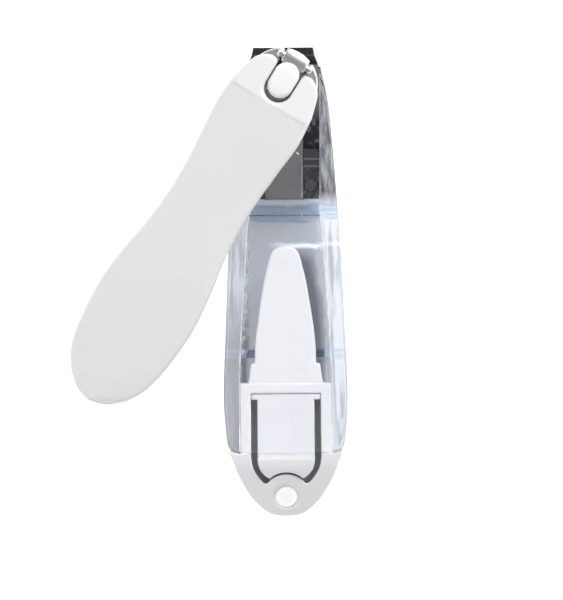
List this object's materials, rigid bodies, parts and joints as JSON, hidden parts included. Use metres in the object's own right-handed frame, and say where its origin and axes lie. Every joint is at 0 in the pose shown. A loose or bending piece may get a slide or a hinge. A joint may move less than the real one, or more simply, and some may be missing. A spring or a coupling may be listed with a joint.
{
  "type": "nail clipper",
  "caption": "Toenail clipper with bent steel jaws, a swivelling covered lever on a capped post, a clear catcher case and a slide-out tail plug with a latch tab.",
  "frame": {"origin": "on the flat back face of the clear case, on the middle plane, halfway between the cutting edge and the end of the tail", "axes": "+Y along the body towards the cutting edges, +Z out of the front of the body towards the lever, +X across the jaws"},
  "size_m": [0.0552, 0.094, 0.0138],
  "materials": {
    "clear": "clear polished",
    "steel_dark": "dark polished",
    "steel_rivet": "satin",
    "chrome": "bright plated",
    "white_lever": "smooth satin",
    "white_cap": "gloss",
    "white_plug": "smooth satin"
  },
  "bodies": {
    "housing": {"case_shell": "clear", "lower_jaw": "steel_dark", "jaw_spacers": "steel_rivet", "jaw_rivets": "steel_rivet"},
    "jaw": {"upper_jaw": "steel_dark"},
    "post": {"post": "chrome", "post_cap": "white_cap", "lever_pin": "chrome"},
    "lever": {"lever_core": "chrome", "lever_cover": "white_lever"},
    "plug": {"tail_plug": "white_plug"},
    "tab": {"latch_tab": "white_plug"}
  },
  "joints": [
    {"name": "jaw_close", "type": "hinge", "parent": "housing", "child": "jaw", "pos_m": [0, 0.0193, 0.0042], "axis": [-1, 0, 0], "range_deg": [0, 5.2]},
    {"name": "post_swivel", "type": "hinge", "parent": "housing", "child": "post", "pos_m": [0, 0.04, 0.005], "axis": [0, 0, 1], "continuous": true},
    {"name": "lever_turn", "type": "hinge", "parent": "post", "child": "lever", "pos_m": [0.00232, 0.04374, 0.01], "axis": [-0.8504, 0.5262, 0], "range_deg": [0, 158]},
    {"name": "plug_slide", "type": "slide", "parent": "housing", "child": "plug", "axis": [0, -1, 0], "range_m": [0, 0.042]},
    {"name": "tab_press", "type": "hinge", "parent": "plug", "child": "tab", "pos_m": [0, -0.02295, 0.0076], "axis": [1, 0, 0], "range_deg": [0, 6], "stiffness_Nm_per_rad": 1.4}
  ],
  "couplings": [
    {"joint": "jaw_close", "follows": "lever_turn", "ratio": 0.0329}
  ]
}
